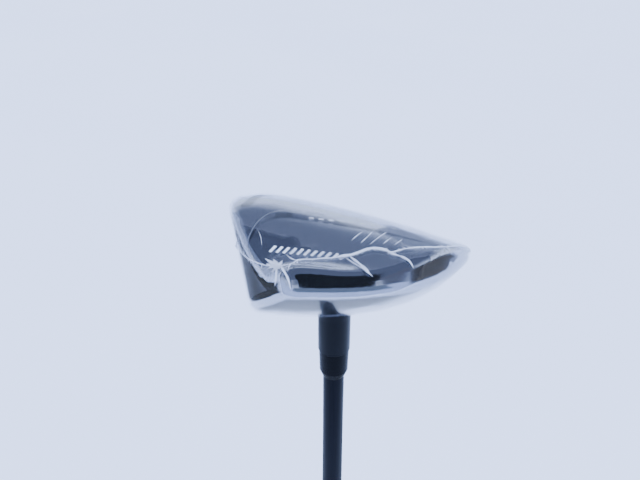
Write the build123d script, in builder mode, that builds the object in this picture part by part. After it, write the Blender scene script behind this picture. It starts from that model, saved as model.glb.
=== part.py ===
from build123d import *
from math import asin, cos, pi, radians, sin, sqrt
import os

# Adjustable hybrid golf club, millimetres.
# Origin: centre of the butt end.  +Z runs up the shaft to the head, the face looks to -X,
# the toe points to -Y, the trailing edge to +X.

# --- driving dimensions -------------------------------------------------------------
# heights named t are measured from the ground point down the shaft axis
CLUB = 1028.0            # butt to the point where the shaft axis meets the ground plane
LIE = 59.5               # shaft to ground, degrees
LOFT = 20.0              # face to vertical, degrees

# head
FACE_X, FACE_Y, FACE_Z = 42.0, 21.5, 3.0  # middle of the face at the leading edge
BULGE_R = 280.0          # face bulge radius
ROLL_X, ROLL_R = 50.0, 57.0  # from here to the toe the face rolls off on a smaller radius
HEEL_TURN, TOE_TURN = -0.38, 1.2217  # how far the face is drawn round each arc, radians
CROWN_TOP = 35.4         # highest point of the crown above the ground plane
CORNER_R, CORNER_X = 6.0, 80.0  # toe corner, where the face rolls into the skirt
EDGE_R = 3.0             # rounding of the leading edge and the foot of the skirt
CROWN_EDGE_R = 4.0       # and of the skirt line and topline
WALL = 1.4               # skirt wall
CROWN_T = 0.9            # crown plate
SOLE_T = 2.5             # sole
FACE_T = 2.3             # face plate
SEAM = 0.04              # glue and weld line
LEDGE = 3.0              # what the crown and face plates sit on
CROWN_SETBACK = 5.5      # crown plate behind the face
CROWN_RIM = 3.2          # and inside the skirt line
CROWN_CLEAR = 7.5        # and off the hosel
FACE_RIM = 4.0           # face plate inside the toe and heel
FACE_TOP, FACE_LOW = 3.2, 5.2  # and below the crown and above the sole
RECESS_X, RECESS_Y = 68.0, 6.0  # corner of the recess in the toe side of the sole
RECESS_DEPTH = 1.2       # there, running out to nothing at RECESS_END
RECESS_END = (90.0, -42.0)
RECESS_L, RECESS_W, RECESS_R = 60.0, 80.0, 8.0
SLOT_X, SLOT_Y = 43.0, 12.4
SLOT_L, SLOT_W = 50.0, 3.0
SCORE_N = 7              # score lines
SCORE_LOW = 8.4
SCORE_PITCH = 3.2
SCORE_L = 44.0
SCORE_W = 0.8
SCORE_DEPTH = 0.4

# hosel and what goes in it
HOSEL_D = 13.8
HOSEL_BLEND_R = 1.5      # where its swell meets the skirt
HOSEL_TOP = 67.0
HOSEL_SHANK_D = 15.0     # solid metal round the bores inside the hollow head
BORE_D = 11.2
SLEEVE_D = 11.04
SPLINE_N = 12
SHELF_LOW, SHELF_HIGH = 24.0, 27.0
SHELF_HOLE_D = 5.6
SLEEVE_LOW = 30.0
SPLINE_TOP = 36.0
COLLAR_TOP = 75.5
COLLAR_D, COLLAR_TOP_D = 13.0, 12.6
POCKET_D = 11.2
SCREW_HEAD_D = 9.0
SCREW_HEAD_LOW, SCREW_HEAD_HIGH = 18.5, 23.0
SCREW_D = 4.8
SCREW_END = 39.0
SOCKET_DEPTH = 2.6
WASHER_D = 9.8
RETAINER_D, RETAINER_T = 7.4, 0.8

# shaft, ferrule, grip
TIP_D = 9.4
TIP_BORE_D = 9.5
TIP_T = 41.5             # shaft tip seats here inside the sleeve
TIP_L = 110.0            # the parallel tip ends here, t
TAPER_Z = 180.0          # the parallel butt ends here
SHAFT_WALL = 1.1
FERRULE_TOP = 81.7
PLUG_D, PLUG_L, PLUG_T = 6.5, 10.0, 62.0
BUTT_D = 15.2
BUTT_Z = 3.2             # shaft butt inside the grip cap
GRIP_L = 267.0
GRIP_Z = 4.2             # the grip's sleeve starts here, above the cap
TAPE_T = 0.2
GROOVES = range(40, 232, 6)
GROOVE_W, GROOVE_DEPTH = 0.9, 0.35
CAP_D = 26.4
VENT_D = 3.2

FILM_IN, FILM_OUT = 0.35, 0.65  # shrink film, off the head's surface
FILM_EDGE_R = 2.5
FILM_HOLE = 5.0          # its opening, outside the hosel

# levels that are clear of the head on the ground, for tools that pass through it
PIT, LOW, SKY = -30.0, -15.0, 120.0

os.makedirs("parts", exist_ok=True)

# the head is drawn as it sits on the ground: x to the toe, y to the target, z up
lie = radians(LIE)
address = Plane(origin=(0, 0, CLUB), x_dir=(0, -sin(lie), cos(lie)), z_dir=(0, -cos(lie), -sin(lie)))
SECTIONS = [-60, -42, -24, -10, 4, 19, 34, 48, 62, 76, 90, 106]
ACROSS = [40, 28, 16, 4, -8, -20, -32, -42, -50, -58]


# skirt line in plan, from the front of the toe round the back to the front of the heel
rim = Spline(
    (89.5, 16), (93, -7), (86.5, -28), (68, -43.5), (47, -49), (24, -43.5),
    (4, -27.5), (-8, -13), (-13.5, 2), (-11, 20),
)
RIM_POINTS = 18


def at(t):
    """Plane across the shaft, t mm down the axis from the ground point, looking to the head."""
    return Plane.XY.offset(CLUB - t)


def crown_height(x, y):
    back = (8 - y) / 56
    side = (x - 38) / 55
    fall = 5.6 * side**2 + 3.1 * side**4 if side > 0 else 3.0 * side**2 + 1.0 * side**4
    return CROWN_TOP - 13.0 * back**2 - 8.0 * back**6 - fall


def sole_height(x, y):
    """V-shaped sole: a keel under x = 42 with a flat falling away to the toe and the heel."""
    back = max(10 - y, 0)
    front = max(y - 10, 0)
    w = x - 42
    toe = (0.97 + 0.0135 * y) * (0.50 * (sqrt((w - 18) ** 2 + 40) + (w - 18)) / 2 - 0.27)
    heel = 0.22 * (sqrt((w + 20) ** 2 + 40) - (w + 20)) / 2 - 0.11
    toe_front = 0.05 * max(x - 76, 0) * max(min(y, 14) + 5, 0)
    return 0.06 * back + back**2 / 620 + front**2 / 55 + 5 * (w / 50) ** 2 + toe + heel + toe_front


def plan_prism(inset):
    """The head seen from above, stood up as a prism and open to the front."""
    points = []
    for i in range(RIM_POINTS + 1):
        along = rim % (i / RIM_POINTS)
        points.append(rim @ (i / RIM_POINTS) + Vector(along.Y, -along.X, 0) * inset)
    with BuildPart() as prism:
        with BuildSketch(Plane.XY.offset(LOW)):
            with BuildLine():
                Spline(*points)
                Polyline(points[-1], (points[-1].X, 60), (points[0].X, 60), points[0])
            make_face()
        extrude(amount=65)
    return prism.part


def slab(height, shift, base):
    """Everything between a height surface and the level z = base."""
    with BuildPart() as body:
        for x in SECTIONS:
            with BuildSketch(Plane(origin=(x, 0, 0), x_dir=(0, 1, 0), z_dir=(1, 0, 0))):
                with BuildLine():
                    line = [(y, height(x, y) + shift) for y in ACROSS]
                    Spline(*line)
                    Polyline(line[0], (ACROSS[0], base), (ACROSS[-1], base), line[-1])
                make_face()
        loft()
    return body.part


def behind_face(inset):
    """Everything behind the face, set back by inset: a gentle bulge that rolls off towards the toe."""
    down = Vector(0, sin(radians(LOFT)), -cos(radians(LOFT)))
    across = Plane(origin=Vector(FACE_X, FACE_Y, FACE_Z) - down * 100, x_dir=(1, 0, 0), z_dir=down)
    turn = asin((ROLL_X - FACE_X) / BULGE_R)

    def bulge(angle):
        return (BULGE_R - inset) * sin(angle), BULGE_R - (BULGE_R - inset) * cos(angle)

    def roll(angle):
        centre = (BULGE_R - ROLL_R) * sin(turn), BULGE_R - (BULGE_R - ROLL_R) * cos(turn)
        return centre[0] + (ROLL_R - inset) * sin(angle), centre[1] - (ROLL_R - inset) * cos(angle)

    with BuildPart() as solid:
        with BuildSketch(across):
            with BuildLine():
                ThreePointArc(bulge(HEEL_TURN), bulge((HEEL_TURN + turn) / 2), bulge(turn))
                ThreePointArc(roll(turn), roll((turn + TOE_TURN) / 2), roll(TOE_TURN))
                back = 200
                Polyline(roll(TOE_TURN), (roll(TOE_TURN)[0], back), (bulge(HEEL_TURN)[0], back),
                         bulge(HEEL_TURN))
            make_face()
        extrude(amount=200)
    return solid.part


def head_solid(wall=0.0, crown=0.0, sole=0.0, face=0.0):
    with BuildPart() as solid:
        add(plan_prism(wall))
        add(slab(crown_height, -crown, PIT), mode=Mode.INTERSECT)
        add(slab(sole_height, sole, SKY), mode=Mode.INTERSECT)
        add(behind_face(face), mode=Mode.INTERSECT)
    return solid.part


def shaft_radius(z):
    """Parallel at the butt, then a straight taper to the parallel tip."""
    taper = CLUB - TIP_L - TAPER_Z
    return BUTT_D / 2 - (BUTT_D - TIP_D) / 2 * min(max(z - TAPER_Z, 0), taper) / taper


def off_shaft(z, gap):
    """Point of a half section, that gap outside the shaft."""
    return shaft_radius(z) + gap, z


def grip_radius(z):
    """The grip's outside, hollowed a little between its ends."""
    along = (z - 22) / (GRIP_L - 22)
    return 12.2 - 3.3 * along - 0.55 * sin(pi * along)


def save(piece, name):
    piece.part.label = name
    export_step(piece.part, f"parts/{name}.step")


# --- head, drawn on the ground --------------------------------------------------------


def lies_on(height, edge, gap, reach):
    """True if the middle of an edge is that gap off a height surface."""
    middle = edge @ 0.5
    return abs(middle.Z - height(middle.X, middle.Y) - gap) < reach


def rounded_head(gap=0.0, edge_r=EDGE_R):
    """The head grown by a gap all round, with its edges rounded."""
    with BuildPart() as solid:
        add(head_solid(-gap, -gap, -gap, -gap))
        fillet(solid.edges().filter_by(lambda e: (e @ 0.5).X > CORNER_X and 2 < e.length < 15), CORNER_R)
        fillet(solid.edges().filter_by(lambda e: lies_on(sole_height, e, -gap, 0.8)), edge_r)
        fillet(solid.edges().filter_by(lambda e: lies_on(crown_height, e, gap, 0.3)), CROWN_EDGE_R)
    return solid.part


def recess_floor(x, y):
    """The sole's surface with the toe recess let in, deepest at its front corner."""
    end_x, end_y = RECESS_END
    across = max(end_x - x, 0) / (end_x - RECESS_X)
    along = max(y - end_y, 0) / (RECESS_Y - end_y)
    return sole_height(x, y) + RECESS_DEPTH * across * along


with BuildPart() as toe_recess:
    with BuildSketch(Plane.XY.offset(LOW)):
        with Locations((RECESS_X + RECESS_L / 2, RECESS_Y - RECESS_W / 2)):
            RectangleRounded(RECESS_L, RECESS_W, RECESS_R)
    extrude(amount=70)
    add(slab(recess_floor, 0, SKY), mode=Mode.SUBTRACT)

with BuildPart() as hollow:
    add(head_solid(WALL, CROWN_T + 0.9, SOLE_T, FACE_T + 0.9))


def score_band(low, high):
    """Thin skin of the face between two depths, cut into the score lines."""
    with BuildPart() as band:
        n = (0, cos(radians(LOFT)), sin(radians(LOFT)))
        face = Plane(origin=(FACE_X, FACE_Y, FACE_Z), x_dir=(1, 0, 0), z_dir=n)
        for i in range(SCORE_N):
            with BuildSketch(face.offset(-6)):
                with Locations((0, -SCORE_LOW - i * SCORE_PITCH)):
                    Rectangle(SCORE_L, SCORE_W)
            extrude(amount=12)
        add(behind_face(low), mode=Mode.INTERSECT)
        add(behind_face(high), mode=Mode.SUBTRACT)
    return band.part


with BuildPart() as face_local:
    add(head_solid(FACE_RIM, FACE_TOP, FACE_LOW, 0))
    add(behind_face(FACE_T), mode=Mode.SUBTRACT)
with BuildPart() as face_seat:
    add(head_solid(FACE_RIM - SEAM, FACE_TOP - SEAM, FACE_LOW - SEAM, -1))
    add(behind_face(FACE_T + SEAM), mode=Mode.SUBTRACT)

with BuildPart() as slot_cut:
    with BuildSketch(Plane.XY.offset(LOW)):
        with Locations((SLOT_X, SLOT_Y)):
            SlotOverall(SLOT_L, SLOT_W)
    extrude(amount=30)
with BuildPart() as slot_insert_local:
    with BuildSketch(Plane.XY.offset(LOW)):
        with Locations((SLOT_X, SLOT_Y)):
            SlotOverall(SLOT_L - 2 * SEAM, SLOT_W - 2 * SEAM)
    extrude(amount=30)
    add(slab(sole_height, 0.3, SKY), mode=Mode.INTERSECT)
    add(slab(sole_height, SOLE_T - 0.2, SKY), mode=Mode.SUBTRACT)

# hosel with its swell into the crown and heel, drawn in the shaft's own frame
with BuildPart() as hosel:
    with BuildSketch(Plane.XZ):
        with BuildLine():
            r = HOSEL_D / 2
            top = CLUB - HOSEL_TOP
            Polyline((0, CLUB - 2), (0, top), (r - 0.4, top), (r, top + 0.4), (r, CLUB - 49))
            Spline((r, CLUB - 49), (r + 1.1, CLUB - 39), (r + 2.4, CLUB - 30), (r + 1.9, CLUB - 18),
                   (r + 0.3, CLUB - 2), tangents=[(0, 1), (-0.1, 1)])
            Line((r + 0.3, CLUB - 2), (0, CLUB - 2))
        make_face()
    revolve(axis=Axis.Z)
    add(address * slab(sole_height, 0.25, SKY), mode=Mode.INTERSECT)
    fillet(hosel.edges().filter_by(lambda e: e.center().Z > CLUB - 25), 2)


def tool(top, low, diameter):
    """A plain cylinder on the shaft axis between two heights t."""
    with BuildPart() as cylinder:
        with BuildSketch(at(top)):
            Circle(diameter / 2)
        extrude(amount=top - low)
    return cylinder.part


def splined(low, high, root_d, tip_d, tooth_w):
    """A round bar with the indexing teeth of the sleeve."""
    with BuildPart() as bar:
        with BuildSketch(at(high)):
            Circle(root_d / 2)
            with PolarLocations((root_d + tip_d) / 4 - 0.1, SPLINE_N):
                Rectangle((tip_d - root_d) / 2 + 0.2, tooth_w)
        extrude(amount=high - low)
        add(tool(high, low, tip_d), mode=Mode.INTERSECT)
    return bar.part


def meets_hosel(edge):
    """The long edges where crown and skirt run into the hosel's swell."""
    place = address.to_local_coords(edge.center())
    return edge.length > 9 and -14.5 < place.X < -7 and place.Z > 15


with BuildPart() as head_outer:
    add(address * rounded_head())
    add(address * toe_recess.part, mode=Mode.SUBTRACT)
    add(hosel)
    fillet(head_outer.edges().filter_by(meets_hosel), HOSEL_BLEND_R)

with BuildPart() as bores:
    add(tool(HOSEL_TOP + 1, SPLINE_TOP, BORE_D))
    add(splined(SHELF_HIGH, SPLINE_TOP, 10.2, BORE_D, 1.5))
    add(tool(SHELF_HIGH, SHELF_LOW, SHELF_HOLE_D))
    add(tool(SHELF_LOW, 0, POCKET_D))

with BuildPart() as cavity:
    add(address * hollow.part)
    add(tool(60, 0, HOSEL_SHANK_D), mode=Mode.SUBTRACT)


def crown_outline(inset):
    """Prism of the crown plate's plan, clear of the rim, the topline and the hosel's swell."""
    with BuildPart() as prism:
        add(plan_prism(CROWN_RIM + inset))
        add(behind_face(CROWN_SETBACK + inset), mode=Mode.INTERSECT)
    with BuildPart() as placed:
        add(address * prism.part)
        add(tool(60, PIT, HOSEL_D + 2 * (CROWN_CLEAR + inset)), mode=Mode.SUBTRACT)
    return placed.part


with BuildPart() as crown:
    add(crown_outline(0))
    add(address * slab(crown_height, 0, PIT), mode=Mode.INTERSECT)
    add(address * slab(crown_height, -CROWN_T, PIT), mode=Mode.SUBTRACT)
save(crown, "crown")

with BuildPart() as crown_seat:
    add(crown_outline(-SEAM))
    add(address * slab(crown_height, -CROWN_T - SEAM, PIT), mode=Mode.SUBTRACT)
with BuildPart() as crown_window:
    add(crown_outline(LEDGE))
    add(address * slab(crown_height, -CROWN_T - 4, PIT), mode=Mode.SUBTRACT)
with BuildPart() as face_window:
    add(head_solid(FACE_RIM + LEDGE, FACE_TOP + LEDGE, FACE_LOW + LEDGE, -1))
    add(behind_face(FACE_T + 2), mode=Mode.SUBTRACT)

with BuildPart() as head_body:
    add(head_outer)
    add(cavity, mode=Mode.SUBTRACT)
    add(bores, mode=Mode.SUBTRACT)
    add(crown_seat, mode=Mode.SUBTRACT)
    add(crown_window, mode=Mode.SUBTRACT)
    add(address * face_seat.part, mode=Mode.SUBTRACT)
    add(address * face_window.part, mode=Mode.SUBTRACT)
    add(address * slot_cut.part, mode=Mode.SUBTRACT)
save(head_body, "head_body")

with BuildPart() as face_plate:
    add(address * face_local.part)
    add(address * score_band(-1, SCORE_DEPTH), mode=Mode.SUBTRACT)
save(face_plate, "face_plate")

with BuildPart() as slot_insert:
    add(address * slot_insert_local.part)
save(slot_insert, "slot_insert")

# --- screw, captive in the hosel --------------------------------------------------------
with BuildPart() as screw_washer:
    add(tool(SHELF_LOW, SCREW_HEAD_HIGH + 0.05, WASHER_D))
    add(tool(SHELF_LOW, SCREW_HEAD_HIGH - 1, SHELF_HOLE_D - 0.1), mode=Mode.SUBTRACT)
save(screw_washer, "screw_washer")

with BuildPart() as hosel_screw:
    add(tool(SCREW_END, SCREW_HEAD_HIGH, SCREW_D))
    add(tool(SCREW_HEAD_HIGH, SCREW_HEAD_LOW, SCREW_HEAD_D))
    chamfer(hosel_screw.edges().filter_by(GeomType.CIRCLE).sort_by(Axis.Z)[0], 0.5)
    chamfer(hosel_screw.edges().filter_by(GeomType.CIRCLE).sort_by(Axis.Z)[-1], 0.5)
    with BuildSketch(at(SCREW_HEAD_LOW)):
        Circle(1.9)
        with PolarLocations(1.9, 6):
            Circle(0.62)
    extrude(amount=-SOCKET_DEPTH, mode=Mode.SUBTRACT)
save(hosel_screw, "hosel_screw")

with BuildPart() as screw_retainer:
    with BuildSketch(at(SHELF_HIGH + 0.9)):
        Circle(RETAINER_D / 2)
        Circle(SCREW_D / 2 + 0.02, mode=Mode.SUBTRACT)
    extrude(amount=RETAINER_T)
save(screw_retainer, "screw_retainer")

# --- shrink film over the head ---------------------------------------------------------
with BuildPart() as shrink_film:
    add(address * rounded_head(FILM_OUT, FILM_EDGE_R))
    add(address * rounded_head(FILM_IN, FILM_EDGE_R), mode=Mode.SUBTRACT)
    add(tool(80, -10, HOSEL_D + 2 * FILM_HOLE), mode=Mode.SUBTRACT)
save(shrink_film, "shrink_film")

# --- sleeve, ferrule and shaft -----------------------------------------------------------
with BuildPart() as loft_sleeve:
    with BuildSketch(at(COLLAR_TOP)):
        Circle(COLLAR_TOP_D / 2)
    with BuildSketch(at(HOSEL_TOP + 0.05)):
        Circle(COLLAR_D / 2)
    loft()
    add(tool(HOSEL_TOP + 0.05, SPLINE_TOP + 0.1, SLEEVE_D))
    add(splined(SLEEVE_LOW, SPLINE_TOP + 0.1, 10.0, SLEEVE_D, 1.3))
    add(tool(COLLAR_TOP, TIP_T, TIP_BORE_D), mode=Mode.SUBTRACT)
    add(tool(TIP_T, SLEEVE_LOW, SCREW_D + 0.2), mode=Mode.SUBTRACT)
save(loft_sleeve, "loft_sleeve")

with BuildPart() as ferrule:
    with BuildSketch(Plane.XZ):
        with BuildLine():
            Polyline(
                (TIP_BORE_D / 2, CLUB - COLLAR_TOP), (12.5 / 2, CLUB - COLLAR_TOP), (12.5 / 2, CLUB - 78.2),
                (9.9 / 2, CLUB - FERRULE_TOP), (TIP_BORE_D / 2, CLUB - FERRULE_TOP), close=True,
            )
        make_face()
    revolve(axis=Axis.Z)
save(ferrule, "ferrule")

with BuildPart() as shaft:
    with BuildSketch(Plane.XZ):
        with BuildLine():
            Polyline(
                (3.3, CLUB - TIP_T - 0.1), (TIP_D / 2, CLUB - TIP_T - 0.1), (TIP_D / 2, CLUB - TIP_L),
                (BUTT_D / 2, TAPER_Z), (BUTT_D / 2, BUTT_Z), (BUTT_D / 2 - SHAFT_WALL, BUTT_Z),
                (BUTT_D / 2 - SHAFT_WALL, TAPER_Z), close=True,
            )
        make_face()
    revolve(axis=Axis.Z)
save(shaft, "shaft")

with BuildPart() as tip_plug:
    add(tool(PLUG_T, PLUG_T - PLUG_L, PLUG_D))
save(tip_plug, "tip_plug")

# --- grip ----------------------------------------------------------------------------------
with BuildPart() as grip_tape:
    with BuildSketch(Plane.XZ):
        with BuildLine():
            Polyline(
                off_shaft(BUTT_Z + 1, 0), off_shaft(BUTT_Z + 1, TAPE_T), off_shaft(TAPER_Z, TAPE_T),
                off_shaft(GRIP_L - 2, TAPE_T), off_shaft(GRIP_L - 2, 0), off_shaft(TAPER_Z, 0), close=True,
            )
        make_face()
    revolve(axis=Axis.Z)
save(grip_tape, "grip_tape")

with BuildPart() as grip:
    with BuildSketch(Plane.XZ):
        with BuildLine():
            gap = TAPE_T + 0.02
            Spline((CAP_D / 2 - 0.5, GRIP_Z), (12.4, 22), (11.2, 75), (10.3, 140), (9.35, 210), (8.9, GRIP_L - 1),
                   tangents=[(-0.1, 1), (-0.05, 1)])
            Polyline(
                (8.9, GRIP_L - 1), (8.4, GRIP_L), off_shaft(GRIP_L, gap), off_shaft(TAPER_Z, gap),
                off_shaft(GRIP_Z, gap), (CAP_D / 2 - 0.5, GRIP_Z),
            )
        make_face()
    revolve(axis=Axis.Z)
    for z in GROOVES:
        with BuildSketch(Plane.XY.offset(z)):
            Circle(CAP_D)
            Circle(grip_radius(z) - GROOVE_DEPTH, mode=Mode.SUBTRACT)
        extrude(amount=GROOVE_W, mode=Mode.SUBTRACT)
save(grip, "grip")

with BuildPart() as grip_cap:
    with BuildSketch(Plane.XZ):
        with BuildLine():
            round_r = 1.6
            top = GRIP_Z - 0.02
            seat = BUTT_D / 2 + 0.25
            Line((VENT_D / 2, 0), (CAP_D / 2 - round_r, 0))
            TangentArc((CAP_D / 2 - round_r, 0), (CAP_D / 2, round_r), tangent=(1, 0))
            Polyline((CAP_D / 2, round_r), (CAP_D / 2, 3.0), (CAP_D / 2 - 0.5, top), (seat, top),
                     (seat, BUTT_Z - 0.05), (VENT_D / 2, BUTT_Z - 0.05), (VENT_D / 2, 0))
        make_face()
    revolve(axis=Axis.Z)
save(grip_cap, "grip_cap")
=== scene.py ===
"""Hybrid golf club, held head up: the looks, the shrink film and the marks on the CAD frame.

Places are in metres in the row frame, or in millimetres in the head frame through on_head().
"""
from math import cos, exp, hypot, radians, sin

import bmesh
import bpy
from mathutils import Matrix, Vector, noise
from mathutils.bvhtree import BVHTree


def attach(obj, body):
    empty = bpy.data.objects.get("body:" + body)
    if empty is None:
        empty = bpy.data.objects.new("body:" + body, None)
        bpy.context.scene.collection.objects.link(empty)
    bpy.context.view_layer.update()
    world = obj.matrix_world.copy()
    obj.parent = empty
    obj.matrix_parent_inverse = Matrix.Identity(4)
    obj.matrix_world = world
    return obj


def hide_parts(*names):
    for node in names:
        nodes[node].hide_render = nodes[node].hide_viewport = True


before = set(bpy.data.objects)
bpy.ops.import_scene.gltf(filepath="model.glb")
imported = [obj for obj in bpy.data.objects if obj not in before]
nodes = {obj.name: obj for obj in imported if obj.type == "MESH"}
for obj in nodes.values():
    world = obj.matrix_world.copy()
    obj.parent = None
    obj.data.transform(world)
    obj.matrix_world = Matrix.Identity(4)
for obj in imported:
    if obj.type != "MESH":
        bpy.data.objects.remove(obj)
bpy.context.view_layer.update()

MM = 0.001
CLUB = 1.028                # butt to where the shaft's axis meets the ground
LIE = radians(59.5)
HOSEL_PAINT = 0.9836        # the hosel is matt below this height
PAINT_EDGE = 0.6 * MM       # half the width of that change

# head frame: x to the toe, y to the target, z up when the club stands on the ground
TOE = Vector((0, -sin(LIE), cos(LIE)))
TARGET = Vector((-1, 0, 0))
UP = Vector((0, -cos(LIE), -sin(LIE)))
GROUND = Vector((0, 0, CLUB))


def on_head(x, y, z):
    """Millimetres in the head frame to a point of the row frame."""
    return GROUND + (TOE * x + TARGET * y + UP * z) * MM


# --- materials --------------------------------------------------------------------------


class Shade:
    """A small builder of node materials."""

    def __init__(self, name, colour, roughness=0.5, metallic=0.0, **sockets):
        self.material = bpy.data.materials.new(name)
        self.material.use_nodes = True
        self.tree = self.material.node_tree
        self.shader = self.tree.nodes["Principled BSDF"]
        self.set("Base Color", (*colour, 1))
        self.set("Roughness", roughness)
        self.set("Metallic", metallic)
        for key, value in sockets.items():
            self.set(key.replace("_", " "), value)
        self.colour = colour
        self.roughness = roughness
        self.height = None

    def set(self, socket, value):
        self.shader.inputs[socket].default_value = value

    def link(self, out, into):
        self.tree.links.new(out, into)

    def place(self, scale=(1, 1, 1)):
        """Object coordinates, scaled."""
        coord = self.tree.nodes.new("ShaderNodeTexCoord")
        mapping = self.tree.nodes.new("ShaderNodeMapping")
        mapping.inputs["Scale"].default_value = scale
        self.link(coord.outputs["Object"], mapping.inputs["Vector"])
        return mapping.outputs["Vector"]

    def noise(self, scale, detail=4, at=None, distortion=0.0):
        made = self.tree.nodes.new("ShaderNodeTexNoise")
        made.inputs["Scale"].default_value = scale
        made.inputs["Detail"].default_value = detail
        made.inputs["Distortion"].default_value = distortion
        self.link(at or self.place(), made.inputs["Vector"])
        return made.outputs["Fac"]

    def ramp(self, fac, low, high, start, end):
        """A value from start to end as fac goes from low to high."""
        made = self.tree.nodes.new("ShaderNodeMapRange")
        limits = {"From Min": low, "From Max": high, "To Min": start, "To Max": end}
        for key, value in limits.items():
            made.inputs[key].default_value = value
        self.link(fac, made.inputs["Value"])
        return made.outputs["Result"]

    def vary_roughness(self, fac, spread):
        """Roughness up and down by the spread."""
        self.link(self.ramp(fac, 0.3, 0.7, self.roughness - spread, self.roughness + spread),
                  self.shader.inputs["Roughness"])

    def vary_colour(self, fac, other):
        """Patches of another colour."""
        mix = self.tree.nodes.new("ShaderNodeMix")
        mix.data_type = "RGBA"
        mix.inputs[6].default_value = (*self.colour, 1)
        mix.inputs[7].default_value = (*other, 1)
        self.link(self.ramp(fac, 0.35, 0.65, 0, 1), mix.inputs[0])
        self.link(mix.outputs[2], self.shader.inputs["Base Color"])

    def bump(self, fac, depth, strength):
        """Relief on top of any relief so far.  Depth in metres."""
        made = self.tree.nodes.new("ShaderNodeBump")
        made.inputs["Strength"].default_value = strength
        made.inputs["Distance"].default_value = depth
        self.link(fac, made.inputs["Height"])
        if self.height:
            self.link(self.height, made.inputs["Normal"])
        self.height = made.outputs["Normal"]
        self.link(self.height, self.shader.inputs["Normal"])

    def satin_below(self, height, colour, roughness):
        """Another, matt finish below a height of the row frame."""
        coord = self.tree.nodes.new("ShaderNodeTexCoord")
        parts = self.tree.nodes.new("ShaderNodeSeparateXYZ")
        self.link(coord.outputs["Object"], parts.inputs[0])
        matt = self.tree.nodes.new("ShaderNodeBsdfPrincipled")
        look = {"Base Color": (*colour, 1), "Roughness": roughness, "Specular IOR Level": 0.09}
        for key, value in look.items():
            matt.inputs[key].default_value = value
        self.mix_over(matt, self.ramp(parts.outputs["Z"], height - PAINT_EDGE, height + PAINT_EDGE, 0, 1))

    def see_through(self, ior, start, low, high):
        """Mostly clear: past a share of Fresnel the surface shows, from low to high."""
        clear = self.tree.nodes.new("ShaderNodeBsdfTransparent")
        rim = self.tree.nodes.new("ShaderNodeFresnel")
        rim.inputs["IOR"].default_value = ior
        self.mix_over(clear, self.ramp(rim.outputs["Fac"], start, 1, low, high))

    def mix_over(self, under, share):
        """The share of the surface that shows over another shader."""
        mix = self.tree.nodes.new("ShaderNodeMixShader")
        self.link(share, mix.inputs[0])
        self.link(under.outputs[0], mix.inputs[1])
        self.link(self.shader.outputs[0], mix.inputs[2])
        self.link(mix.outputs[0], self.tree.nodes["Material Output"].inputs["Surface"])


def head_finish():
    """Satin black plating with a fine cast grain."""
    m = Shade("head_black", (0.27, 0.29, 0.345), 0.13, 0.98)
    m.vary_roughness(m.noise(900, 3), 0.03)
    m.vary_colour(m.noise(45, 3), (0.25, 0.27, 0.325))
    m.bump(m.noise(2500, 2), 0.00002, 0.2)
    m.satin_below(HOSEL_PAINT, (0.002, 0.0024, 0.004), 0.3)
    return m.material


def crown_finish():
    """Painted crown, smoother than the body."""
    m = Shade("crown_black", (0.20, 0.22, 0.26), 0.12, 0.95, Coat_Weight=0.15)
    m.vary_roughness(m.noise(600, 3), 0.02)
    m.vary_colour(m.noise(4000, 2), (0.22, 0.24, 0.285))
    return m.material


def steel(name, colour, roughness, scale):
    """Bare steel.  The scale stretches its grain."""
    m = Shade(name, colour, roughness, 1.0)
    grain = m.noise(1, 5, m.place(scale))
    m.vary_roughness(grain, 0.08)
    m.bump(grain, 0.00004, 0.5)
    return m.material


def rubber(name, colour, roughness=0.75, grain=1800):
    """Rubber, foam or paper: matt, with a grain."""
    m = Shade(name, colour, roughness)
    m.vary_roughness(m.noise(grain / 4, 4), 0.06)
    m.vary_colour(m.noise(60, 3), tuple(c * 1.3 for c in colour))
    m.bump(m.noise(grain, 3), 0.00008, 0.5)
    return m.material


def anodised():
    """Black anodising with fine turning marks round the sleeve."""
    m = Shade("sleeve_anodised", (0.0012, 0.0014, 0.0022), 0.30, 0.0, Specular_IOR_Level=0.05)
    rings = m.noise(1, 4, m.place((40, 40, 6000)))
    m.vary_roughness(rings, 0.05)
    m.bump(rings, 0.00003, 0.4)
    return m.material


def graphite():
    """Dark lacquered graphite with a weave along the shaft."""
    m = Shade("shaft_graphite", (0.0012, 0.0015, 0.0035), 0.33, 0.0, Specular_IOR_Level=0.05)
    weave = m.noise(1, 4, m.place((2500, 2500, 25)))
    m.vary_colour(weave, (0.0025, 0.003, 0.006))
    m.bump(weave, 0.00002, 0.3)
    return m.material


def moulded_black():
    """Smooth black moulding."""
    m = Shade("ferrule_black", (0.002, 0.002, 0.003), 0.26, Specular_IOR_Level=0.05)
    m.vary_roughness(m.noise(700, 3), 0.04)
    return m.material


def film():
    """Clear film that gleams only where it is seen edge on."""
    m = Shade("clear_film", (0.93, 0.95, 1.0), 0.07, 1.0)
    m.vary_roughness(m.noise(300, 3), 0.03)
    m.bump(m.noise(130, 3, distortion=0.6), 0.0003, 0.25)
    m.see_through(1.3, 0.28, 0.0, 0.45)
    return m.material


def crumpled_film():
    """Gathered film, white and half clear."""
    m = Shade("crumpled_film", (0.80, 0.85, 0.97), 0.25)
    m.bump(m.noise(1500, 3), 0.0002, 0.6)
    m.see_through(1.4, 0.03, 0.40, 0.85)
    return m.material


def paint():
    """White paint of the marks."""
    m = Shade("mark_white", (0.74, 0.77, 0.84), 0.5)
    m.vary_colour(m.noise(900, 3), (0.60, 0.63, 0.72))
    return m.material


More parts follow.
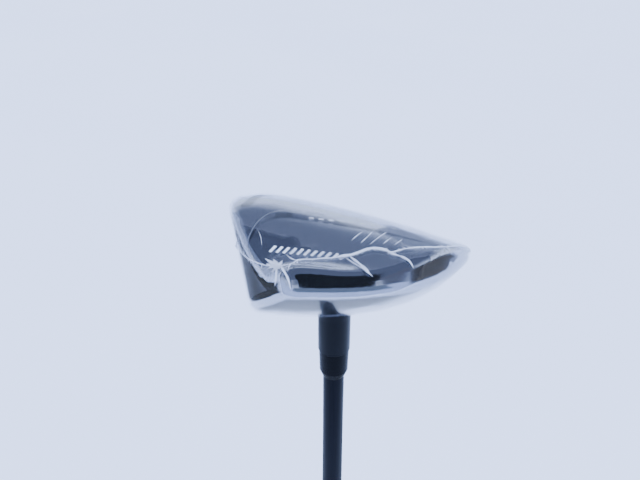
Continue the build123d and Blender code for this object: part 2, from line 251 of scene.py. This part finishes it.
materials = {
    "head_body": head_finish(),
    "crown": crown_finish(),
    "face_plate": steel("face_steel", (0.40, 0.42, 0.47), 0.34, (60, 60, 60)),
    "slot_insert": rubber("slot_polymer", (0.03, 0.03, 0.035), 0.6),
    "screw_washer": steel("washer_steel", (0.6, 0.6, 0.62), 0.35, (400, 400, 4000)),
    "hosel_screw": steel("screw_steel", (0.25, 0.25, 0.27), 0.32, (300, 300, 6000)),
    "screw_retainer": rubber("retainer_rubber", (0.02, 0.02, 0.02)),
    "loft_sleeve": anodised(),
    "ferrule": moulded_black(),
    "shaft": graphite(),
    "tip_plug": rubber("plug_foam", (0.7, 0.66, 0.52), 0.9, 900),
    "grip_tape": rubber("tape_backing", (0.72, 0.66, 0.5), 0.8, 700),
    "grip": rubber("grip_rubber", (0.022, 0.022, 0.024), 0.72),
    "grip_cap": rubber("cap_rubber", (0.018, 0.018, 0.02), 0.62),
}


def dress(obj, material):
    obj.data.materials.clear()
    obj.data.materials.append(material)


for name, material in materials.items():
    dress(nodes[name], material)
CRUMPLED = crumpled_film()
WHITE = paint()


# --- mesh helpers -----------------------------------------------------------------------


def piece(name, mesh, material, body, smooth=True):
    """A finished mesh as a piece that rides on a body."""
    obj = bpy.data.objects.new(name, mesh)
    bpy.context.scene.collection.objects.link(obj)
    for face in mesh.polygons:
        face.use_smooth = smooth
    dress(obj, material)
    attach(obj, body)
    return obj


def closed_mesh(name, rings):
    """A closed mesh from rings of points, each ring joined to the next, with both ends capped."""
    n = len(rings[0])
    faces = []
    for i in range(len(rings) - 1):
        for j in range(n):
            k = (j + 1) % n
            faces.append((i * n + j, i * n + k, (i + 1) * n + k, (i + 1) * n + j))
    faces.append(tuple(reversed(range(n))))
    faces.append(tuple(range((len(rings) - 1) * n, len(rings) * n)))
    mesh = bpy.data.meshes.new(name)
    mesh.from_pydata([p for ring in rings for p in ring], [], faces)
    tidy = bmesh.new()
    tidy.from_mesh(mesh)
    bmesh.ops.recalc_face_normals(tidy, faces=tidy.faces)
    tidy.to_mesh(mesh)
    tidy.free()
    return mesh


def joined(name, meshes):
    """Several meshes as one."""
    whole = bmesh.new()
    for mesh in meshes:
        whole.from_mesh(mesh)
        bpy.data.meshes.remove(mesh)
    out = bpy.data.meshes.new(name)
    whole.to_mesh(out)
    whole.free()
    return out


def node_tree_of(names):
    """A search tree of CAD nodes' surfaces."""
    whole = bmesh.new()
    for name in names:
        whole.from_mesh(nodes[name].data)
    tree = BVHTree.FromBMesh(whole)
    whole.free()
    return tree


HEAD = ("head_body", "crown", "face_plate", "slot_insert")
head_tree = node_tree_of(HEAD)

# --- shrink film ------------------------------------------------------------------------
VOXEL = 0.9 * MM
FILM_T = 0.12 * MM
FILM_HOLE = 11.8 * MM       # radius of its opening round the hosel
HOLE_TOP = 1.012            # the opening is below this height
FILM_SETTLE = 0.12 * MM     # how far it lies inside the CAD film's outer side
SMOOTHINGS = 4
SEAM_PULL = 7 * MM          # how far from the seam the folds reach
FOLD, SLACK = 0.10, 0.07    # height of the folds and of the slack waves, in millimetres
FOLD_RATES = (900, 260, 260)    # folds a metre towards the target, up and to the toe, roughly
SLACK_RATE = 160
HEAD_MIDDLE = (45, -18, 15)
MERGE = 0.002 * MM
SLIVER = 0.01 * MM


def remeshed(source, voxel):
    """A voxel remesh of a mesh, as a new bmesh."""
    obj = bpy.data.objects.new("work", source)
    bpy.context.scene.collection.objects.link(obj)
    remesh = obj.modifiers.new("voxels", "REMESH")
    remesh.mode = "VOXEL"
    remesh.voxel_size = voxel
    view = bpy.context.evaluated_depsgraph_get()
    out = bmesh.new()
    out.from_object(obj, view)
    bpy.data.objects.remove(obj)
    return out


def outer_shell(mesh):
    """Deletes every loose part but the one that reaches furthest."""
    seen, best, best_reach = set(), set(), 0
    for start in mesh.verts:
        if start in seen:
            continue
        part, stack = {start}, [start]
        while stack:
            for edge in stack.pop().link_edges:
                for vert in edge.verts:
                    if vert not in part:
                        part.add(vert)
                        stack.append(vert)
        seen |= part
        reach = max(v.co.z for v in part) - min(v.co.z for v in part)
        if reach > best_reach:
            best, best_reach = part, reach
    bmesh.ops.delete(mesh, geom=[v for v in mesh.verts if v not in best], context="VERTS")


def wrinkle(point, seam):
    """How far the film stands off at a point: slack waves, gathered along the seam."""
    reach = seam.find_nearest(point)[3]
    pull = exp(-((reach / SEAM_PULL) ** 2))
    along = point - GROUND
    axes = zip((TARGET, UP, TOE), FOLD_RATES)
    fold = noise.noise(Vector([along.dot(axis) * rate for axis, rate in axes]))
    slack = noise.noise(along * SLACK_RATE)
    return (SLACK * slack + FOLD * pull * fold) * MM


def outer_faces(name):
    """A CAD shell's outer side, closed up into one solid."""
    shell = bmesh.new()
    shell.from_mesh(nodes[name].data)
    bmesh.ops.remove_doubles(shell, verts=shell.verts, dist=MERGE)
    middle = on_head(*HEAD_MIDDLE)
    inner = [f for f in shell.faces if f.normal.dot(f.calc_center_median() - middle) <= 0]
    bmesh.ops.delete(shell, geom=inner, context="FACES")
    bmesh.ops.holes_fill(shell, edges=[e for e in shell.edges if e.is_boundary], sides=0)
    bmesh.ops.triangulate(shell, faces=shell.faces)
    out = bpy.data.meshes.new("skin_source")
    shell.to_mesh(out)
    shell.free()
    return out


def film_skin(seam):
    """The film as one thin, slack sheet drawn over the head, open round the hosel.  Gives its search tree."""
    skin = remeshed(outer_faces("shrink_film"), VOXEL)
    outer_shell(skin)
    bmesh.ops.delete(skin, context="VERTS", geom=[
        v for v in skin.verts if hypot(v.co.x, v.co.y) < FILM_HOLE and v.co.z < HOLE_TOP])
    for _ in range(SMOOTHINGS):
        bmesh.ops.smooth_vert(skin, verts=skin.verts, factor=0.5,
                              use_axis_x=True, use_axis_y=True, use_axis_z=True)
    skin.normal_update()
    moves = [(v, v.co + v.normal * (wrinkle(v.co, seam) - FILM_SETTLE)) for v in skin.verts]
    for vert, place in moves:
        vert.co = place
    skin.normal_update()
    tree = BVHTree.FromBMesh(skin)
    mesh = bpy.data.meshes.new("film_skin")
    skin.to_mesh(mesh)
    skin.free()
    obj = piece("film_skin", mesh, film(), "head")
    thick = obj.modifiers.new("thickness", "SOLIDIFY")
    thick.thickness = FILM_T
    thick.offset = -1
    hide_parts("shrink_film")
    return tree


def curve_through(points, step=0.5):
    """Points about step millimetres apart on a smooth curve through head-frame points."""
    points = [Vector(p) for p in points]
    ends = [points[0] * 2 - points[1], *points, points[-1] * 2 - points[-2]]
    out = []
    for a, b, c, d in zip(ends, ends[1:], ends[2:], ends[3:]):
        n = max(2, round((c - b).length / step))
        for i in range(n):
            t = i / n
            out.append(((b * 2) + (c - a) * t + (a * 2 - b * 5 + c * 4 - d) * t * t
                        + (b * 3 - a - c * 3 + d) * t ** 3) / 2)
    return [on_head(*p) for p in [*out, points[-1]]]


# a strip's section: across in widths, up in heights
TENT = ((-0.5, -0.3), (-0.3, 0.45), (0, 1), (0.3, 0.45), (0.5, -0.3))
FLAT = ((-0.5, -1), (-0.5, 1), (0.5, 1), (0.5, -1))
THIN_END, TAPER = 0.12, 4   # a crease's tip, as a share of its size, and the points it takes to widen
SPUR_WIDTHS = (0.24, 0.20, 0.16, 0.11, 0.05)
SPUR_HEIGHTS = (0.2, 0.17, 0.13, 0.08, 0.03)


def strip(tree, path, widths, heights, section):
    """A closed strip that follows a surface along a path.  Widths and heights in millimetres."""
    rings = []
    last = len(path) - 1
    for i, point in enumerate(path):
        along = (path[min(i + 1, last)] - path[max(i - 1, 0)]).normalized()
        place, normal, _, _ = tree.find_nearest(point)
        side = normal.cross(along).normalized()
        ring = []
        for across, up in section:
            foot, out, _, _ = tree.find_nearest(place + side * (across * widths[i] * MM))
            ring.append(foot + out * (up * heights[i] * MM))
        rings.append(ring)
    return closed_mesh("strip", rings)


def rough(i, seed, low, high):
    """A steady but uneven number for the i-th point."""
    wave = noise.noise(Vector((i * 0.37, seed * 7.1, 0.5))) + 0.5 * noise.noise(Vector((i * 1.3, seed, 9)))
    return low + (high - low) * min(max(0.5 + 0.6 * wave, 0), 1)


def crease(tree, points, width, height, seed, taper=(True, True)):
    """A gathered crease in the film, uneven along its length and thin at the ends that taper."""
    path = curve_through(points)
    last = len(path) - 1
    widths, heights = [], []
    for i in range(len(path)):
        thin = 1.0
        if taper[0]:
            thin = min(thin, THIN_END + i / TAPER)
        if taper[1]:
            thin = min(thin, THIN_END + (last - i) / TAPER)
        size = thin * rough(i, seed, 0.45, 1.5)
        widths.append(width * size)
        heights.append(height * size)
    return strip(tree, path, widths, heights, TENT)


def spurs(tree, points, seed, every, reach):
    """Short pulls that leave a seam at an angle.  Reach in millimetres."""
    path = curve_through(points)
    out = []
    for i in range(2, len(path) - 2, every):
        along = (path[i + 1] - path[i - 1]).normalized()
        place, normal, _, _ = tree.find_nearest(path[i])
        side = normal.cross(along) * (1 if rough(i * 3, seed, -1, 1) > 0 else -1)
        turn = side + along * rough(i * 5, seed + 1, -0.9, 0.9)
        length = rough(i * 2, seed + 2, 0.3, 1) * reach * MM
        line = [place + turn.normalized() * (length * k / 4) for k in range(5)]
        out.append(strip(tree, line, SPUR_WIDTHS, SPUR_HEIGHTS, TENT))
    return out


# where the film is gathered, in the head frame; branches and wrinkles also have widths, branches heights
# most points of SEAM_TOE and FROSTED, some of BRANCHES and most of RECESS_LINE below are copied from a
# program that cast rays from places in the picture onto the CAD film and head; the rest are by hand
SEAM_TOE = [(75, 11.5, 15.5), (77.5, 9, 18), (82, 4.8, 19), (85.5, -0.3, 19.6), (87.3, -4.6, 19.5),
            (88, -7.5, 19.1), (85.3, -8.7, 17.5), (84.7, -12.7, 16.8), (83.3, -17.9, 15.6), (81.8, -21, 14.5),
            (78.8, -25, 12.5), (78.5, -28, 12.4), (79, -29.8, 12.9), (76.5, -33, 11.7), (74.2, -36.3, 10.9),
            (69, -42, 9.9), (56, -47.7, 9.2)]
SEAM_BACK = [(56, -47.7, 9.2), (44, -52, 9), (30, -53, 10), (16, -50, 11), (4, -42, 12), (-4, -30, 14),
             (-8, -18, 16)]
SEAM_FACE = [(75, 11.5, 15.5), (66, 14, 17), (50, 16, 17), (34, 17, 17), (18, 17, 17), (4, 14, 16),
             (-5, 6, 16)]
FROSTED = [(83.3, -17.5, 15.6), (81.8, -21, 14.5), (78.8, -25, 12.5), (78.5, -28, 12.4), (79, -29.8, 12.9)]
BRANCHES = [
    ([(82.5, -20.6, 15), (85, -23.5, 16.5), (87.2, -25.8, 18.2), (87.4, -27.2, 19)], 0.9, 0.35),
    ([(83, -19.5, 15.3), (85, -22.3, 16.6), (87.3, -25.5, 18.4)], 0.45, 0.25),
    ([(78.5, -28, 12.4), (79.5, -30.3, 13), (80, -33, 13.8), (80.6, -35.8, 16)], 0.75, 0.3),
    ([(87.3, -4.6, 19.5), (91, -5.4, 20.8), (91.3, -5.6, 22.3), (90.6, -5.3, 24)], 0.7, 0.3),
    ([(87.5, -5.5, 19.5), (92.3, -7.4, 20), (93.2, -9, 22), (93.1, -9.7, 24.1)], 0.6, 0.3),
    ([(83.2, -5, 16.4), (84.6, -6.8, 17.2), (85.3, -8.6, 17.5)], 0.4, 0.25),
    ([(85.3, -8.7, 17.5), (88.5, -9, 18.2), (92.8, -8.6, 20)], 0.45, 0.25),
    ([(84.6, -2.4, 17.9), (87.2, -4.2, 19.3), (89.5, -4.2, 20.8)], 1.7, 0.35),
    ([(85, -4.8, 18), (87, -4.2, 19.4), (86.8, -2, 20.4)], 1.5, 0.35),
    ([(85.5, -1, 19.2), (87.5, -4.3, 19.5), (90.8, -6.2, 20)], 1.5, 0.35),
    ([(84, -0.2, 18.2), (86.5, -3.6, 19.2), (89, -4.6, 20.4)], 1.2, 0.3),
]
WRINKLES = [
    ([(77, -19.6, 11.4), (74.5, -20.6, 9.9), (72.5, -21.5, 8.8)], 0.20),
    ([(77.5, -22, 11.6), (74.3, -23.2, 9.7), (71, -23.9, 8.1)], 0.25),
    ([(77.6, -24.3, 11.7), (74, -25.8, 9.6), (69.7, -27.3, 8)], 0.25),
    ([(76.6, -27.3, 11.3), (74.3, -28.2, 10.1), (72, -29, 9)], 0.20),
    ([(75.8, -30, 11.2), (73.3, -31.2, 10), (71.5, -31.7, 9.2)], 0.16),
    ([(81.2, 2, 15), (80, 3.3, 12), (78.5, 4.8, 10)], 0.16),
]


def line_tree(lines):
    """A search tree of lines, as slivers."""
    made = bmesh.new()
    for points in lines:
        path = curve_through(points, 1.0)
        for a, b in zip(path, path[1:]):
            made.faces.new([made.verts.new(p) for p in (a, b, b + UP * SLIVER)])
    tree = BVHTree.FromBMesh(made)
    made.free()
    return tree


skin_tree = film_skin(line_tree([SEAM_TOE, SEAM_BACK, SEAM_FACE]))

gathers = [crease(skin_tree, SEAM_TOE, 0.36, 0.26, 1, (True, False)),
           crease(skin_tree, SEAM_BACK, 0.32, 0.22, 2, (False, True)),
           crease(skin_tree, SEAM_FACE, 0.32, 0.22, 3, (False, True))]
for k, shift in enumerate((-0.55, 0.0, 0.5)):
    line = [(x, y, z + shift) for x, y, z in FROSTED]
    gathers.append(crease(skin_tree, line, 0.55, 0.25, 4 + k))
gathers += [crease(skin_tree, *branch, 10 + k) for k, branch in enumerate(BRANCHES)]
for seam, seed, every, reach in ((SEAM_TOE, 31, 3, 1.6), (SEAM_BACK, 41, 6, 1.2), (SEAM_FACE, 51, 6, 1.2)):
    gathers += spurs(skin_tree, seam, seed, every, reach)
piece("film_seam", joined("film_seam", gathers), CRUMPLED, "head")
pulls = [crease(skin_tree, points, width, 0.2, 60 + k) for k, (points, width) in enumerate(WRINKLES)]
piece("film_wrinkles", joined("film_wrinkles", pulls), CRUMPLED, "head")

# --- painted marks: plain bars in place of lettering and a painted highlight along the recess edge, in millimetres ---
PAINT = 0.03                # how far a mark stands up and reaches in
RECESS_LINE = [(80, 5.8, 18), (79.8, 6.1, 16), (79, 6.3, 14.5), (75.3, 6.2, 10.4), (71.2, 4.9, 7.3),
               (68.4, 2.6, 5.8), (67.7, 0.3, 5.5)]


def painted_line(tree, path, width):
    """A flat painted line along a path."""
    return strip(tree, path, [width] * len(path), [PAINT] * len(path), FLAT)


def bar(tree, a, b, width):
    """A painted bar between two head-frame points."""
    return painted_line(tree, [on_head(*Vector(a).lerp(Vector(b), k / 6)) for k in range(7)], width)


BARS, BAR_PITCH, BAR_W = 11, 1.78, 0.75
bars = []
for k in range(BARS):
    x, y = 80.8 + 0.09 * k, -0.8 - BAR_PITCH * k
    bars.append(bar(head_tree, (x - 0.7, y - 0.55, 15.0), (x + 0.8, y + 0.25, 16.7), BAR_W))
piece("toe_bars", joined("toe_bars", bars), WHITE, "head", smooth=False)

# a thin strip of bright steel along the upper edge of the recess: a painted highlight where that edge catches
# the light
edge = painted_line(head_tree, curve_through(RECESS_LINE), 0.24)
piece("recess_painted_glint", edge, steel("painted_glint_steel", (0.62, 0.66, 0.74), 0.3, (60, 60, 60)), "head")

DASHES, DASH_PITCH, DASH_L, DASH_W = 9, 2.7, 1.4, 0.3
dashes = []
for k in range(DASHES):
    away = DASH_PITCH * k
    x, y = 68.3 - 0.012 * away ** 2, -6 - away
    dashes.append(bar(head_tree, (x, y, 6.6), (x - 0.1, y - DASH_L, 6.6), DASH_W))
piece("sole_dashes", joined("sole_dashes", dashes), WHITE, "head", smooth=False)

# --- stage ---------------------------------------------------------------------------------


def card(name, centre, width, height, facing, material):
    """A flat card that faces a point."""
    mesh = bpy.data.meshes.new(name)
    w, h = width / 2, height / 2
    mesh.from_pydata([(-w, -h, 0), (w, -h, 0), (w, h, 0), (-w, h, 0)], [], [(0, 1, 2, 3)])
    obj = bpy.data.objects.new(name, mesh)
    bpy.context.scene.collection.objects.link(obj)
    obj.location = centre
    obj.rotation_mode = "QUATERNION"
    obj.rotation_quaternion = (Vector(facing) - Vector(centre)).to_track_quat("Z", "Y")
    dress(obj, material)
    return obj


TOE_END = Vector((0.02, -0.09, 1.04))
DULL = (0.02, 0.02, 0.02)


def flag(name, direction, width, height, glow=None, reach=0.6, colour=DULL):
    """A card out of the picture, reach metres from the toe, that only gleams in the metal."""
    shade = Shade(name, colour, 0.9, Specular_IOR_Level=0.0)
    shade.vary_colour(shade.noise(3, 2), tuple(c * 0.8 for c in colour))
    if glow:
        shade.set("Emission Color", (*glow, 1))
        shade.set("Emission Strength", 1.0)
    centre = TOE_END + Vector(direction).normalized() * reach
    obj = card(name, centre, width, height, TOE_END, shade.material)
    obj.visible_camera = False
    obj.visible_diffuse = False
    obj.visible_shadow = False
    obj.visible_transmission = False


floor_shade = Shade("floor_pale", (0.74, 0.80, 0.97), 0.9)
floor_shade.vary_colour(floor_shade.noise(0.6, 2), (0.76, 0.82, 0.98))
card("floor", (0, 0, -0.0005), 60, 60, (0, 0, 1), floor_shade.material)

flag("flag_dark", (0.47, -0.74, 0.84), 0.66, 0.88, reach=0.5, colour=(0.0005, 0.0006, 0.001))
flag("flag_side", (0.93, 0.36, -0.12), 0.46, 0.24, (0.15, 0.15, 0.16))
flag("flag_olive", (-0.83, 0.27, -0.48), 0.56, 0.22, (0.05, 0.05, 0.042))
flag("flag_front", (-0.88, 0.36, 0.27), 0.36, 0.40, (0.80, 1.0, 1.6))
flag("flag_back", (0.15, 0.98, 0.10), 0.22, 0.27, (0.42, 0.52, 0.84))
flag("flag_under", (-0.05, 0.33, -0.94), 0.5, 0.40, (0.60, 0.74, 1.10))
flag("flag_mid", (0.94, -0.13, 0.26), 0.30, 0.34, (0.28, 0.31, 0.46))
flag("flag_low", (0.45, -0.87, -0.23), 0.95, 0.28, (0.42, 0.55, 0.85), reach=0.5)

# the studio: a bright horizon under a darker ceiling, so that metal shows its shape
HORIZON = (1.55, 1.85, 2.6, 1)
CEILING = (0.27, 0.33, 0.54, 1)
FADE_FROM, FADE_TO = 0.12, 0.46     # where the one turns into the other, as the height of a direction
world = bpy.data.worlds.new("studio")
bpy.context.scene.world = world
world.use_nodes = True
tree = world.node_tree
coord = tree.nodes.new("ShaderNodeTexCoord")
parts = tree.nodes.new("ShaderNodeSeparateXYZ")
height = tree.nodes.new("ShaderNodeMapRange")
height.interpolation_type = "SMOOTHSTEP"
height.inputs["From Min"].default_value = FADE_FROM
height.inputs["From Max"].default_value = FADE_TO
sky = tree.nodes.new("ShaderNodeMix")
sky.data_type = "RGBA"
sky.inputs[6].default_value = HORIZON
sky.inputs[7].default_value = CEILING
tree.links.new(coord.outputs["Generated"], parts.inputs[0])
tree.links.new(parts.outputs["Z"], height.inputs["Value"])
tree.links.new(height.outputs["Result"], sky.inputs[0])
tree.links.new(sky.outputs[2], tree.nodes["Background"].inputs["Color"])


def sun(name, direction, angle, strength, colour):
    """A very soft light from far away that lights but doesn't gleam."""
    light = bpy.data.lights.new(name, "SUN")
    light.angle = radians(angle)
    light.energy = strength
    light.color = colour
    obj = bpy.data.objects.new(name, light)
    bpy.context.scene.collection.objects.link(obj)
    obj.rotation_mode = "QUATERNION"
    obj.rotation_quaternion = (-Vector(direction)).to_track_quat("-Z", "Y")
    obj.visible_glossy = False


sun("key", (0.35, -0.45, 1.0), 60, 11.0, (0.62, 0.73, 1.0))

# camera: just above and in front of the toe, looking down at it
LENS = 33.8625
AZIMUTH, ELEVATION = radians(13.9), radians(29.8)
eye = Vector((0.04310, -0.19941, 1.13146))
forward = Vector((-sin(AZIMUTH) * cos(ELEVATION), cos(AZIMUTH) * cos(ELEVATION), -sin(ELEVATION)))
camera = bpy.data.objects.new("camera", bpy.data.cameras.new("camera"))
bpy.context.scene.collection.objects.link(camera)
camera.data.lens = LENS
camera.data.clip_start = 0.005
camera.data.clip_end = 100
camera.location = eye
camera.rotation_mode = "QUATERNION"
camera.rotation_quaternion = forward.to_track_quat("-Z", "Y")
bpy.context.scene.camera = camera
